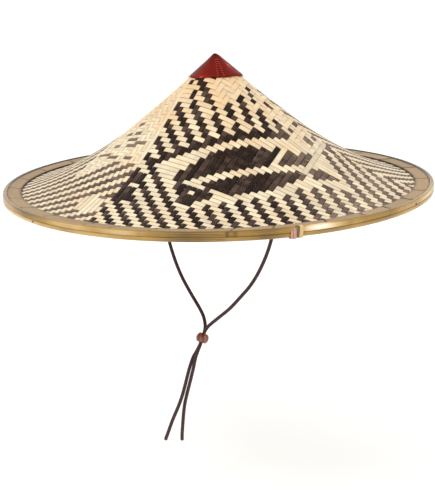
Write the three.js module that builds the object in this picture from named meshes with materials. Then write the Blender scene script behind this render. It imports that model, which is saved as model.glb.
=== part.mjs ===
// A conical hat plaited from bamboo splints: a thin cone that flares into a flat brim, a leather cap
// over the tip, a ring of bamboo skin and two split-bamboo hoops round the edge, a ring inside that
// sits on the head, and a chin cord whose two ends run through one wooden bead.
//
// Millimetres, +Z up. The origin is the middle of the head ring, where a head holds the hat, and the
// front of the hat faces -Y.
import * as THREE from 'three';

// Driving sizes. Heights in the tables are measured up from the top edge of the hoops.
const GAP = 0.3;
const RIM_RADIUS = 250;
const SEAT_HEIGHT = 48;
const SHELL_WALL = 2;
const CAP_WALL = 1.5;
const CAP_RADIUS = 31;
const BAND_WALL = 1.2;
const BAND_WIDTH = 16.6;
const HOOP_THICKNESS = 5.1;
const HOOP_BULGE = 0.7;
const UPPER_HOOP_HEIGHT = 5.8;
const LOWER_HOOP_HEIGHT = 4.6;
const LOWER_HOOP_REACH = 9;
const HEAD_RING_RADIUS = 91;
const HEAD_RING_WALL = 3;
const HEAD_RING_HEIGHT = 34.6;
const CORD_DIAMETER = 4.4;
const BEAD_DIAMETER = 15.3;
const BEAD_BORE = 10;
const BINDING_WIDTH = 14;
const BINDING_WALL = 1.1;
const BINDING_AZIMUTH = -72;

// Facets round each kind of piece.
const CROWN_FACETS = 72;
const RIM_FACETS = 84;
const CAP_FACETS = 40;
const RING_FACETS = 56;
const BEAD_FACETS = 16;
const CORD_SIDES = 8;
const CORD_STEPS = 44;

// The outside of the plaited cone, from its tip to the edge of the brim.
const CROWN_SECTIONS = [
  { radius: 0, height: 144.5 },
  { radius: 8, height: 139.6 },
  { radius: 28, height: 122.7 },
  { radius: 55, height: 99.9 },
  { radius: 80, height: 79.7 },
  { radius: 105, height: 59.9 },
  { radius: 130, height: 42.8 },
  { radius: 155, height: 28.0 },
  { radius: 180, height: 15.0 },
  { radius: 205, height: 4.5 },
  { radius: 228, height: -2.8 },
  { radius: 244.6, height: -2.2 },
];

// The cord's two runs, from beside the head ring, under the chin, through the bead and down to the
// free end. Heights here are measured from the origin.
const NEAR_ROUTE = [
  [73.9, -62.0, 6.0], [73.9, -62.0, -8.0], [73.8, -62.0, -20.0], [72.2, -61.4, -38.0],
  [67.4, -60.0, -68.0], [61.9, -58.3, -94.0], [56.9, -56.7, -114.4], [50.0, -54.2, -133.6],
  [42.2, -51.4, -150.2], [33.8, -48.4, -164.2], [23.0, -44.4, -178.0], [9.5, -38.4, -194.2],
  [-3.0, -32.2, -206.4], [-11.5, -28.0, -214.6], [-16.8, -26.4, -219.9], [-20.2, -27.2, -224.7],
  [-23.2, -30.2, -232.1], [-26.2, -33.2, -239.5], [-29.3, -35.9, -246.4], [-32.0, -38.1, -253.6],
  [-34.9, -39.9, -265.4], [-37.9, -41.6, -276.8], [-41.1, -43.8, -287.9], [-44.2, -45.5, -299.0],
  [-46.4, -46.4, -308.0], [-48.0, -47.2, -318.0], [-49.5, -48.2, -331.6], [-50.7, -49.2, -344.0],
  [-51.2, -49.5, -353.6],
];
const FAR_ROUTE = [
  [-73.9, 62.0, 6.0], [-73.9, 62.0, -8.0], [-73.8, 62.0, -20.0], [-73.0, 59.8, -38.0],
  [-71.0, 55.2, -66.0], [-68.4, 50.4, -92.0], [-64.9, 44.8, -115.0], [-60.0, 38.2, -136.0],
  [-54.0, 31.5, -155.0], [-47.0, 24.0, -171.5], [-39.0, 15.5, -185.5], [-31.5, 6.5, -196.8],
  [-25.8, -2.0, -204.8], [-21.9, -9.8, -211.4], [-20.2, -16.2, -217.2], [-19.9, -20.4, -221.6],
  [-20.8, -22.8, -226.3], [-23.8, -25.8, -233.7], [-26.8, -28.8, -241.1], [-30.6, -31.5, -247.6],
  [-34.8, -34.3, -254.2], [-39.2, -38.0, -264.8], [-42.5, -41.1, -275.5], [-45.7, -43.6, -286.6],
  [-49.4, -47.0, -298.4], [-54.4, -51.5, -310.4], [-60.9, -56.7, -323.6], [-66.8, -61.1, -338.0],
  [-70.4, -63.9, -346.8],
];
const BEAD_CENTRE = [-23.5, -28.0, -232.9];
const BEAD_AXIS = [0.35, 0.35, 0.87];

// The colours and finishes of the real materials.
const splints = new THREE.MeshStandardMaterial({ color: 0xb9a27c, roughness: 0.7 });
const redLeather = new THREE.MeshStandardMaterial({ color: 0x8a1b12, roughness: 0.5 });
const bambooSkin = new THREE.MeshStandardMaterial({ color: 0xb0a384, roughness: 0.6 });
const splitBamboo = new THREE.MeshStandardMaterial({ color: 0xb28c3c, roughness: 0.35 });
const paleCane = new THREE.MeshStandardMaterial({ color: 0xe0c0a0, roughness: 0.6 });
const brownCord = new THREE.MeshStandardMaterial({ color: 0x3a1513, roughness: 0.85 });
const turnedWood = new THREE.MeshStandardMaterial({ color: 0x8a4222, roughness: 0.25 });

// The points of a line that runs beside the given one, the distance away on its left side. A first
// point on the axis stays on the axis.
function beside(line, distance) {
  return line.map((point, i) => {
    const before = line[Math.max(i - 1, 0)];
    const after = line[Math.min(i + 1, line.length - 1)];
    const along = new THREE.Vector2().subVectors(after, before).normalize();
    if (point.x === 0) return new THREE.Vector2(0, point.y + distance / along.x);
    return new THREE.Vector2(point.x - along.y * distance, point.y + along.x * distance);
  });
}

// The height of a line at a radius, read along the piece that spans it or else along its last one.
function heightAt(line, radius) {
  const next = line.findIndex((point) => point.x >= radius);
  const i = next > 0 ? next : line.length - 1;
  const share = (radius - line[i - 1].x) / (line[i].x - line[i - 1].x);
  return line[i - 1].y + share * (line[i].y - line[i - 1].y);
}

// The part of a line between two radii, with a point at each of them.
function stretch(line, from, to) {
  const inside = line.filter((point) => point.x > from && point.x < to);
  const ends = [from, to].map((radius) => new THREE.Vector2(radius, heightAt(line, radius)));
  return [ends[0], ...inside, ends[1]];
}

// A solid of revolution about +Z from a closed section of radius and height.
function revolve(section, facets) {
  const geometry = new THREE.LatheGeometry(section, facets);
  geometry.rotateX(Math.PI / 2);
  geometry.translate(0, 0, -SEAT_HEIGHT);
  return geometry;
}

function ringSection(corners) {
  const section = corners.map(([radius, height]) => new THREE.Vector2(radius, height));
  return [...section, section[0]];
}

function namedMesh(name, geometry, material) {
  const mesh = new THREE.Mesh(geometry, material);
  mesh.name = name;
  return mesh;
}

const crownTop = CROWN_SECTIONS.map((row) => new THREE.Vector2(row.radius, row.height));
const crownUnderside = beside(crownTop, -SHELL_WALL);
const brimEdge = RIM_RADIUS - HOOP_THICKNESS - GAP;

// One thin wall: out along the underside, round the edge, and back up the outside.
function wovenShell() {
  const outside = [...crownTop].reverse();
  return revolve([...crownUnderside, ...outside], CROWN_FACETS);
}

// A thin cone of leather over the tip, a small gap above the plaiting.
function tipCap() {
  const under = stretch(beside(crownTop, GAP), 0.001, CAP_RADIUS);
  under[0].x = 0;
  const over = beside(under, CAP_WALL).reverse();
  return revolve([...under, ...over], CAP_FACETS);
}

// A flat ring laid on the outer part of the brim, inside the upper hoop.
function rimBand() {
  const under = stretch(beside(crownTop, GAP), brimEdge - BAND_WIDTH, brimEdge);
  const over = under.map((point) => new THREE.Vector2(point.x, point.y + BAND_WALL)).reverse();
  return revolve([...under, ...over, under[0]], RIM_FACETS);
}

// The upper half of the edge, with a rounded outer face.
function upperHoop() {
  const inner = RIM_RADIUS - HOOP_THICKNESS;
  const bottom = -UPPER_HOOP_HEIGHT;
  const waist = RIM_RADIUS - HOOP_BULGE;
  return revolve(ringSection([
    [inner, bottom], [waist, bottom], [RIM_RADIUS, bottom * 0.72], [RIM_RADIUS, bottom * 0.3],
    [waist - 0.2, -0.3], [waist - 1.4, 0], [inner + 0.9, 0], [inner, -0.6],
  ]), RIM_FACETS);
}

// The lower half of the edge. Its inner part reaches under the brim and carries it.
function lowerHoop() {
  const top = -UPPER_HOOP_HEIGHT - GAP;
  const bottom = top - LOWER_HOOP_HEIGHT;
  const inner = RIM_RADIUS - LOWER_HOOP_REACH;
  const step = brimEdge;
  const waist = RIM_RADIUS - HOOP_BULGE;
  const seat = heightAt(crownUnderside, inner) - GAP;
  return revolve(ringSection([
    [inner, bottom + 0.8], [inner + 0.8, bottom], [waist - 0.6, bottom],
    [RIM_RADIUS - 0.3, bottom + 1.3], [RIM_RADIUS - 0.2, top - 1.2], [waist, top],
    [step, top], [step, seat], [inner, seat],
  ]), RIM_FACETS);
}

// A plain upright ring whose top edge lies just under the cone.
function headRing() {
  const outer = HEAD_RING_RADIUS + HEAD_RING_WALL;
  const top = heightAt(crownUnderside, outer) - GAP * 1.3;
  const bottom = top - HEAD_RING_HEIGHT;
  return revolve(ringSection([
    [HEAD_RING_RADIUS, bottom], [outer, bottom], [outer, top], [HEAD_RING_RADIUS, top],
  ]), RING_FACETS);
}

// A strip bent round the outside of both hoops, open towards the middle of the hat.
function hoopBinding() {
  const inside = RIM_RADIUS + GAP * 1.5;
  const outside = inside + BINDING_WALL;
  const top = GAP;
  const bottom = -UPPER_HOOP_HEIGHT - LOWER_HOOP_HEIGHT - GAP * 2;
  const arm = HOOP_THICKNESS;
  const outline = new THREE.Shape([
    [inside - arm, top], [inside, top], [inside, bottom], [inside - arm, bottom],
    [inside - arm, bottom - BINDING_WALL], [outside - 0.5, bottom - BINDING_WALL],
    [outside, bottom - BINDING_WALL + 0.5], [outside, top + BINDING_WALL - 0.5],
    [outside - 0.5, top + BINDING_WALL], [inside - arm, top + BINDING_WALL],
  ].map(([x, y]) => new THREE.Vector2(x, y)));
  const geometry = new THREE.ExtrudeGeometry(outline, { depth: BINDING_WIDTH, bevelEnabled: false });
  geometry.translate(0, 0, -BINDING_WIDTH / 2);
  geometry.rotateX(Math.PI / 2);
  geometry.rotateZ(THREE.MathUtils.degToRad(BINDING_AZIMUTH));
  geometry.translate(0, 0, -SEAT_HEIGHT);
  return geometry;
}

// A round cord along one smooth curve through its route.
function cord(route) {
  const path = new THREE.CatmullRomCurve3(route.map((point) => new THREE.Vector3(...point)));
  const section = new THREE.Shape();
  for (let side = 0; side < CORD_SIDES; side += 1) {
    const angle = (2 * Math.PI * side) / CORD_SIDES;
    const x = (CORD_DIAMETER / 2) * Math.cos(angle);
    const y = (CORD_DIAMETER / 2) * Math.sin(angle);
    if (side === 0) section.moveTo(x, y);
    else section.lineTo(x, y);
  }
  section.closePath();
  return new THREE.ExtrudeGeometry(section, {
    steps: CORD_STEPS,
    extrudePath: path,
    bevelEnabled: false,
  });
}

// A ball drilled through its middle, with its axis along the cord.
function bead() {
  const ball = BEAD_DIAMETER / 2;
  const bore = BEAD_BORE / 2;
  const mouth = Math.acos(bore / ball);
  const section = [];
  for (let i = 0; i <= BEAD_FACETS / 2; i += 1) {
    const angle = -mouth + (2 * mouth * i) / (BEAD_FACETS / 2);
    section.push(new THREE.Vector2(ball * Math.cos(angle), ball * Math.sin(angle)));
  }
  const geometry = new THREE.LatheGeometry([...section, section[0]], BEAD_FACETS);
  const axis = new THREE.Vector3(...BEAD_AXIS).normalize();
  const turn = new THREE.Quaternion().setFromUnitVectors(new THREE.Vector3(0, 1, 0), axis);
  geometry.applyQuaternion(turn);
  geometry.translate(...BEAD_CENTRE);
  return geometry;
}

const hat = new THREE.Group();
hat.add(
  namedMesh('woven_shell', wovenShell(), splints),
  namedMesh('tip_cap', tipCap(), redLeather),
  namedMesh('rim_band', rimBand(), bambooSkin),
  namedMesh('upper_hoop', upperHoop(), splitBamboo),
  namedMesh('lower_hoop', lowerHoop(), splitBamboo),
  namedMesh('hoop_binding', hoopBinding(), paleCane),
  namedMesh('head_ring', headRing(), splitBamboo),
  namedMesh('cord_near', cord(NEAR_ROUTE), brownCord),
  namedMesh('cord_far', cord(FAR_ROUTE), brownCord),
  namedMesh('bead', bead(), turnedWood),
);

export default hat;
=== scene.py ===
import math

import bmesh
import bpy
import numpy as np
from mathutils import Matrix


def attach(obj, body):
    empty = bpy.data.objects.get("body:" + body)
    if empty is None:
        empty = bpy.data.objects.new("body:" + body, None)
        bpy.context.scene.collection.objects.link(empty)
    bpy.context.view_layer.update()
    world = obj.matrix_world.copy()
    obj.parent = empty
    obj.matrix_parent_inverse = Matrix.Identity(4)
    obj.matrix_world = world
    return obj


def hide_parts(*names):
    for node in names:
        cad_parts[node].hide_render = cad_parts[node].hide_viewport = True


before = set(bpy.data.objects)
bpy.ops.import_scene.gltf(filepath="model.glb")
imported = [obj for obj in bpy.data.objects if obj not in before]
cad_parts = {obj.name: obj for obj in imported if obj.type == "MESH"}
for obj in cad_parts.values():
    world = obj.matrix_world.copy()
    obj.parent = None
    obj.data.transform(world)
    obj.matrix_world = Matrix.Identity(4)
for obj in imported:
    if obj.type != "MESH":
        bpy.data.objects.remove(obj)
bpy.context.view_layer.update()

bl_info = {
    "name": "Conical Bamboo Hat",
    "version": (1, 0, 0),
    "blender": (4, 5, 0),
    "location": "View3D > Sidebar > Hat",
    "description": "A plaited conical bamboo hat with a leather tip, split-bamboo rim and beaded chin cord",
    "category": "Object",
}

MM = 0.001
BODY = "root"
WELD_REACH = 1e-6

# The camera, fitted to the ellipse of the rim and to the tip.
CAMERA_PLACE = (0.0, -1.4674, 0.2586)
CAMERA_TARGET = (-0.002734, 0.0, -0.12977)
CAMERA_ROLL = -0.027
CAMERA_LENS = 92.93
SENSOR = 36.0

# The paper floor, as distance back and height, and the lamps: name, place, size and power.
FLOOR_HEIGHT = -0.42
FLOOR_REACH = 8.0
FLOOR_PROFILE = [(-3.0, 0.0), (2.2, 0.0), (3.0, 0.1), (3.6, 0.5), (3.9, 1.2), (4.0, 4.0)]
LAMPS = [
    ("key_lamp", (-1.2, -1.3, 2.0), 0.9, 22.0), ("fill_lamp", (1.8, -1.4, 1.0), 1.2, 7.0),
]
LAMP_TARGET = (0.0, 0.0, -0.02)

# The outside of the cone from its tip to the edge of the brim: radius and height over the hoops.
CROWN_SECTIONS = [
    (0.0, 144.5), (8.0, 139.6), (28.0, 122.7), (55.0, 99.9), (80.0, 79.7), (105.0, 59.9),
    (130.0, 42.8), (155.0, 28.0), (180.0, 15.0), (205.0, 4.5), (228.0, -2.8), (244.6, -2.2),
]
SEAT_HEIGHT = 48.0
STEPS_PER_SECTION = 12

# The cone slit open and laid flat covers this share of a full turn.
UNROLLED_SHARE = 0.79
FRONT_AZIMUTH = -90.0

# Sizes of the rim, in millimetres, as in the solids.
RIM_RADIUS = 250.0
HOOP_THICKNESS = 5.1
UPPER_HOOP_HEIGHT = 5.8
LOWER_HOOP_HEIGHT = 4.6
LOWER_HOOP_REACH = 9.0
GAP = 0.3
BAND_WALL = 1.2
BAND_WIDTH = 16.6
CAP_WALL = 1.5
CAP_STEP = 2.5
HEAD_RING_RADIUS = 91.0
HEAD_RING_WALL = 3.0
HEAD_RING_HEIGHT = 34.6
BINDING_AZIMUTH = -72.0

# Turns of the binding: place across it, width, thickness, lean and how high the turn reaches.
PALE_TURNS = [(-5.8, 2.6, 1.0, 0.1, -3.9), (-2.6, 3.2, 1.1, 0.03, -2.9)]
DARK_TURN = (0.9, 2.7, 0.35, 0.08, GAP)
GOLDEN_TURN = (4.4, 4.0, 0.7, 0.1, GAP)

# Brads, as azimuth and height, and the rows of stitches, as degrees from the front and slant.
BRADS = [(-142.0, -7.6), (-32.0, -4.2)]
STITCH_ROWS = [(6.5, -1.0), (19.5, 1.0)]

# The plait is counted from the tip: column 0 and row 0 cross there. Columns run down to the left
# of the front, rows run down to the right, and the angles are those on the cone laid flat.
COLUMN_PITCH = 6.68
ROW_PITCH = 7.24
ROW_CLOSING = 0.0245
COLUMN_ANGLE = -26.0
COLUMN_TURN = -0.71
ROW_ANGLE = 59.8
ROW_TURN = -1.11
SEAM_ANGLE = COLUMN_ANGLE - (360.0 * UNROLLED_SHARE - (ROW_ANGLE - COLUMN_ANGLE)) / 2
WEAVE_DEPTH = 1.0
SPLINT_LIFT = 0.42
SPLINT_END_RADIUS = 243.5
SPLINT_TIP_RADIUS = 3.0
FARTHEST_SPLINT = 46
PALE_TONE = 0.36
# The smoked splints on the right side are lighter: painted sheen.
RIGHT_SHEEN_TONE = 0.46

# Both sides have more splints than the front: the share of its pitch that they keep there, for
# their columns and rows, and how far the front's upper rows draw together towards the right.
LEFT_PITCH = (0.925, 0.82)
RIGHT_PITCH = (0.75, 0.8)
ROWS_DRAWN = 0.138
LEFT_EDGE_COLUMN = -2.5
LEFT_DARK_ROW = 32
LEFT_PALE_COLUMNS = 14

# Where the maker's count slips on the front, as column and row: dark cells in the pale field
# under the tip, and pale ones in the lines of the twill.
DARK_DASHES = [
    (8, 5), (12, 5), (15, 5), (16, 5), (10, 4), (18, 4), (21, 3), (22, 3), (9, 3), (21, 2),
    (22, 2), (8, 2), (12, 2), (13, 2), (18, 1), (22, 0), (18, 0), (22, -1), (25, 0), (26, 0),
    (18, 6), (18, 11), (2, 28), (3, 28), (1, 30), (1, 34), (1, 35), (2, 35), (0, 8), (-2, 6),
]
PALE_STEPS = [
    (12, 10), (0, 10), (4, 10), (5, 11), (9, 11), (10, 29), (14, 28), (-3, 7), (-2, 7), (-2, 8),
    (-1, 8), (-1, 9), (-3, 11),
]

# Dark stubs laid into the pale rows of the left side: row, first column and last column there.
LEFT_DASHES = [
    (22, 5, 6), (25, 2, 4), (24, 5, 7), (26, 4, 6), (22, 8, 9), (19, 6, 7), (30, 3, 4),
    (30, 7, 9), (29, 10, 13), (26, 9, 10),
]

# The joints between the strips of skin on the brim's edge, in degrees round the axis.
BAND_SLITS = [
    -178.0, -164.0, -152.0, -139.5, -124.7, -116.8, -106.7, -87.0, -77.0, -63.2, -51.6, -42.1,
    -30.6, -19.4, -3.8, 12.0, 27.0, 40.0, 55.0, 69.0, 84.0, 99.0, 113.0, 128.0, 142.0, 156.0,
    169.5, 182.0,
]

# The upper hoop's ends meet at this azimuth. Its outside starts at the radius of HOOP_SIDE.
HOOP_BUTT = -87.6
HOOP_SIDE = RIM_RADIUS - 1.6
GROOVE_FAINT = 0.12

# How the hoops waver: size, waves in a turn and phase.
UPPER_WAVES = [(0.1, 5, 1.0), (0.06, 13, 2.1)]
LOWER_WAVES = [(0.08, 4, 2.0), (0.05, 11, 0.0)]

# Lighter and darker stretches of the hoops: azimuth, half width in degrees, and how much. Most
# are stain patches of the culm; on the upper hoop the lighter stretches round -128, -113 and
# -66 degrees are painted highlights.
UPPER_STAINS_AND_HIGHLIGHTS = [
    (-146.0, 7.0, -0.2), (-128.0, 8.0, 0.12), (-113.0, 5.0, 0.16), (-97.0, 9.0, -0.14),
    (-79.0, 6.0, -0.12), (-66.0, 4.5, 0.32), (-47.0, 6.0, -0.06), (-22.0, 9.0, 0.12),
]
LOWER_STAINS = [
    (-150.0, 10.0, 0.1), (-120.0, 8.0, 0.08), (-97.0, 9.0, -0.18), (-79.0, 6.0, -0.2),
    (-64.0, 5.0, -0.16), (-48.0, 8.0, -0.1),
]

CORD_SIDES = 20
CORD_STEP = 0.55
BRAID_STRANDS = 4
BRAID_LAY = 9.0
BRAID_DEPTH = 0.42
BEAD_CENTRE = (-0.0235, -0.0280, -0.2329)
BEAD_AXIS = (0.35, 0.35, 0.87)

# The cord's two runs, in metres, point for point as in the solids.
NEAR_ROUTE = [
    (0.0739, -0.0620, 0.0060), (0.0739, -0.0620, -0.0080), (0.0738, -0.0620, -0.0200),
    (0.0722, -0.0614, -0.0380), (0.0674, -0.0600, -0.0680), (0.0619, -0.0583, -0.0940),
    (0.0569, -0.0567, -0.1144), (0.0500, -0.0542, -0.1336), (0.0422, -0.0514, -0.1502),
    (0.0338, -0.0484, -0.1642), (0.0230, -0.0444, -0.1780), (0.0095, -0.0384, -0.1942),
    (-0.0030, -0.0322, -0.2064), (-0.0115, -0.0280, -0.2146), (-0.0168, -0.0264, -0.2199),
    (-0.0202, -0.0272, -0.2247), (-0.0232, -0.0302, -0.2321), (-0.0262, -0.0332, -0.2395),
    (-0.0293, -0.0359, -0.2464), (-0.0320, -0.0381, -0.2536), (-0.0349, -0.0399, -0.2654),
    (-0.0379, -0.0416, -0.2768), (-0.0411, -0.0438, -0.2879), (-0.0442, -0.0455, -0.2990),
    (-0.0464, -0.0464, -0.3080), (-0.0480, -0.0472, -0.3180), (-0.0495, -0.0482, -0.3316),
    (-0.0507, -0.0492, -0.3440), (-0.0512, -0.0495, -0.3536),
]
FAR_ROUTE = [
    (-0.0739, 0.0620, 0.0060), (-0.0739, 0.0620, -0.0080), (-0.0738, 0.0620, -0.0200),
    (-0.0730, 0.0598, -0.0380), (-0.0710, 0.0552, -0.0660), (-0.0684, 0.0504, -0.0920),
    (-0.0649, 0.0448, -0.1150), (-0.0600, 0.0382, -0.1360), (-0.0540, 0.0315, -0.1550),
    (-0.0470, 0.0240, -0.1715), (-0.0390, 0.0155, -0.1855), (-0.0315, 0.0065, -0.1968),
    (-0.0258, -0.0020, -0.2048), (-0.0219, -0.0098, -0.2114), (-0.0202, -0.0162, -0.2172),
    (-0.0199, -0.0204, -0.2216), (-0.0208, -0.0228, -0.2263), (-0.0238, -0.0258, -0.2337),
    (-0.0268, -0.0288, -0.2411), (-0.0306, -0.0315, -0.2476), (-0.0348, -0.0343, -0.2542),
    (-0.0392, -0.0380, -0.2648), (-0.0425, -0.0411, -0.2755), (-0.0457, -0.0436, -0.2866),
    (-0.0494, -0.0470, -0.2984), (-0.0544, -0.0515, -0.3104), (-0.0609, -0.0567, -0.3236),
    (-0.0668, -0.0611, -0.3380), (-0.0704, -0.0639, -0.3468),
]


def linear(hex_colour):
    """The linear colour of an sRGB hex value, with alpha 1."""
    channels = [int(hex_colour[i:i + 2], 16) / 255 for i in (1, 3, 5)]
    return [c / 12.92 if c <= 0.04045 else ((c + 0.055) / 1.055) ** 2.4 for c in channels] + [1.0]


def shade(colour, factor):
    """A colour made darker or lighter by a factor."""
    return [min(1.0, channel * factor) for channel in tuple(colour)[:3]] + [1.0]


def unit(vectors):
    """Vectors scaled to length one."""
    return vectors / np.maximum(np.linalg.norm(vectors, axis=-1, keepdims=True), 1e-12)


def bump(value, middle, reach):
    """A bell that is one at its middle and falls off over its reach."""
    return np.exp(-((value - middle) / reach) ** 2)


def rising(value, middle, reach):
    """A smooth step from nought to one round its middle."""
    return 1 / (1 + np.exp(np.clip((middle - value) / reach, -50.0, 50.0)))


def wrapped(azimuth):
    """Degrees brought to between -180 and 180."""
    return (azimuth + 180.0) % 360.0 - 180.0


# Settings that a maker would change


def length(name, description, millimetres, lowest, highest):
    """A length setting, kept in metres."""
    return bpy.props.FloatProperty(name=name, description=description, default=millimetres * MM,
                                   min=lowest * MM, max=highest * MM, precision=5, unit="LENGTH")


def colour(name, description, hex_colour):
    """A colour setting, kept linear."""
    return bpy.props.FloatVectorProperty(name=name, description=description, size=4, min=0.0,
                                         max=1.0, default=linear(hex_colour), subtype="COLOR")


class HatShape(bpy.types.PropertyGroup):
    """The sizes of the hat's small parts."""
    splint_thickness: length("Splint Thickness", "Thickness of a shaved splint", 0.5, 0.2, 0.8)
    splint_fill: bpy.props.FloatProperty(
        name="Splint Fill", description="Share of its pitch that a splint covers",
        default=0.985, min=0.8, max=1.0, subtype="FACTOR")
    cap_radius: length("Cap Radius", "Radius of the leather cap's edge", 28.8, 20.0, 33.0)
    stitch_length: length("Stitch Length", "Length of a stitch of the cap's seam", 3.0, 1.0, 5.0)
    slit_width: length("Slit Width", "Open joint between two strips of skin", 0.35, 0.1, 1.0)
    cord_diameter: length("Cord Diameter", "Diameter of the braided cord", 4.4, 3.0, 4.6)
    bead_diameter: length("Bead Diameter", "Diameter of the wooden bead", 15.3, 12.0, 16.0)
    bead_bore: length("Bead Bore", "Diameter of the hole for both cords", 10.0, 9.6, 11.0)


class HatFinish(bpy.types.PropertyGroup):
    """The main colour of each material."""
    natural: colour("Natural Bamboo", "Shaved natural splints", "#dccbab")
    warm: colour("Warm Bamboo", "Natural splints near the tip, warmed by handling", "#dcb27c")
    smoked: colour("Smoked Bamboo", "Smoked dark splints", "#271810")
    # Its light brown is partly the smoke's unevenness and partly painted sheen on the sides.
    faded_and_sheen: colour("Faded Bamboo", "Smoked splints where the smoke took less", "#816a5b")
    leather: colour("Leather", "Red leather of the cap", "#751305")
    thread: colour("Thread", "Waxed thread of the cap's seam", "#a8382a")
    skin: colour("Bamboo Skin", "Weathered skin on the brim's edge", "#a68a66")
    culm: colour("Upper Hoop", "Glossy skin of the upper hoop", "#a17c38")
    straw: colour("Lower Hoop", "Glossy skin of the lower hoop", "#b08c4c")
    cane: colour("Cane", "Cane of the rim's binding", "#b58770")
    cord: colour("Cord", "Threads of the braided cord", "#371512")
    rosewood: colour("Bead Wood", "Turned wood of the bead", "#743519")


# Shapes


def smooth_line(rows, steps, power=0.0):
    """A Catmull-Rom curve through rows of points: each span is the cubic whose slopes come from
    its four points. Knots are spaced by the chords to a power, and a half is centripetal."""
    rows = np.asarray(rows, float)
    padded = np.vstack([2 * rows[0] - rows[1], rows, 2 * rows[-1] - rows[-2]])
    gaps = np.linalg.norm(np.diff(padded, axis=0), axis=1) ** power
    p0, p1, p2, p3 = (padded[k:len(padded) - 3 + k][:, None] for k in range(4))
    d0, d1, d2 = (gaps[k:len(gaps) - 2 + k][:, None, None] for k in range(3))
    m1 = ((p1 - p0) / d0 - (p2 - p0) / (d0 + d1) + (p2 - p1) / d1) * d1
    m2 = ((p2 - p1) / d1 - (p3 - p1) / (d1 + d2) + (p3 - p2) / d2) * d1
    t = (np.arange(steps) / steps)[:, None]
    curve = ((2 * t ** 3 - 3 * t ** 2 + 1) * p1 + (t ** 3 - 2 * t ** 2 + t) * m1
             + (3 * t ** 2 - 2 * t ** 3) * p2 + (t ** 3 - t ** 2) * m2)
    return np.vstack([curve.reshape(-1, rows.shape[1]), rows[-1:]])


CROWN_LINE = smooth_line(CROWN_SECTIONS, STEPS_PER_SECTION)
CROWN_ARC = np.concatenate([[0.0], np.cumsum(np.linalg.norm(np.diff(CROWN_LINE, axis=0), axis=1))])
CROWN_SLOPE = unit(np.gradient(CROWN_LINE, axis=0))


def crown_point(arc, lift):
    """Radius and height at an arc length from the tip, raised along the outward normal."""
    radius = np.interp(arc, CROWN_ARC, CROWN_LINE[:, 0])
    height = np.interp(arc, CROWN_ARC, CROWN_LINE[:, 1])
    out = -np.interp(arc, CROWN_ARC, CROWN_SLOPE[:, 1])
    up = np.interp(arc, CROWN_ARC, CROWN_SLOPE[:, 0])
    return radius + out * lift, height - SEAT_HEIGHT + up * lift


def round_about(radius, height, azimuth):
    """Points in metres from radius, height in millimetres and azimuth in radians."""
    return np.stack([radius * np.cos(azimuth), radius * np.sin(azimuth), height], -1) * MM


def crown_height(radius):
    """The height of the cone's outside at a radius."""
    return np.interp(radius, CROWN_LINE[:, 0], CROWN_LINE[:, 1]) - SEAT_HEIGHT


def swept(rings, across, along, closed=False, keep=None, tone=0.5):
    """Closed tubes: rings has shape (tubes, steps, corners, 3), each ring going anticlockwise seen
    from behind. Neighbouring rings are joined by four-sided faces and the ends are capped. across
    and along give the two surface distances, keep says which stretches between rings exist, and
    tone is a value for each point that the material reads."""
    tubes, steps, corners = rings.shape[:3]
    index = np.arange(tubes * steps * corners).reshape(tubes, steps, corners)
    following = np.roll(index, -1, axis=1) if closed else index[:, 1:]
    here = index if closed else index[:, :-1]
    joined = np.ones(here.shape[:2], bool) if keep is None else keep
    quads = np.stack([here, following, np.roll(following, -1, axis=2),
                      np.roll(here, -1, axis=2)], -1)[joined].reshape(-1, 4)

    u = np.broadcast_to(across, here.shape[:2] + (corners + 1,))
    v = np.broadcast_to(along, (tubes, here.shape[1] + 1))[..., None]
    v = np.broadcast_to(v, v.shape[:2] + (corners,))
    uv = np.stack([u[..., :-1], v[:, :-1], u[..., :-1], v[:, 1:],
                   u[..., 1:], v[:, 1:], u[..., 1:], v[:, :-1]], -1)[joined].reshape(-1, 4, 2)
    faces = [(quads, uv)]
    if not closed:
        before = np.pad(joined, ((0, 0), (1, 0)))[:, :-1]
        after = np.pad(joined, ((0, 0), (0, 1)))[:, 1:]
        starts = index[:, :-1][joined & ~before]
        ends = index[:, 1:][joined & ~after][:, ::-1]
        faces += [(caps, np.zeros(caps.shape + (2,))) for caps in (starts, ends)]
    return rings.reshape(-1, 3), faces, np.broadcast_to(tone, rings.shape[:3]).ravel()


def build(name, patches, material, welded=False):
    """One smooth mesh object from a list of patches, each its points, faces and tones. Points
    that no face uses are dropped. A welded piece has its doubled points merged, as at poles."""
    corners, sizes, uvs, start = [], [], [], 0
    for points, faces, _ in patches:
        for index, uv in faces:
            corners.append(index.ravel() + start)
            sizes.append(np.full(len(index), index.shape[1]))
            uvs.append(uv.ravel())
        start += len(points)
    sizes = np.concatenate(sizes)
    used, corners = np.unique(np.concatenate(corners), return_inverse=True)
    points, tones = (np.concatenate([patch[k] for patch in patches])[used] for k in (0, 2))
    mesh = bpy.data.meshes.new(name)
    mesh.vertices.add(len(used))
    mesh.loops.add(len(corners))
    mesh.polygons.add(len(sizes))
    mesh.vertices.foreach_set("co", points.astype(np.float32).ravel())
    mesh.loops.foreach_set("vertex_index", corners.astype(np.int32))
    mesh.polygons.foreach_set("loop_start", (np.cumsum(sizes) - sizes).astype(np.int32))
    mesh.polygons.foreach_set("use_smooth", np.ones(len(sizes), bool))
    mesh.update(calc_edges=True)
    layer = mesh.uv_layers.new(name="surface")
    layer.data.foreach_set("uv", np.concatenate(uvs).astype(np.float32))
    attribute = mesh.attributes.new("tone", "FLOAT", "POINT")
    attribute.data.foreach_set("value", tones.astype(np.float32))
    if welded:
        weld(mesh)
    mesh.materials.append(material)
    mesh.validate()
    piece = bpy.data.objects.new(name, mesh)
    bpy.context.scene.collection.objects.link(piece)
    return piece


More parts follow.
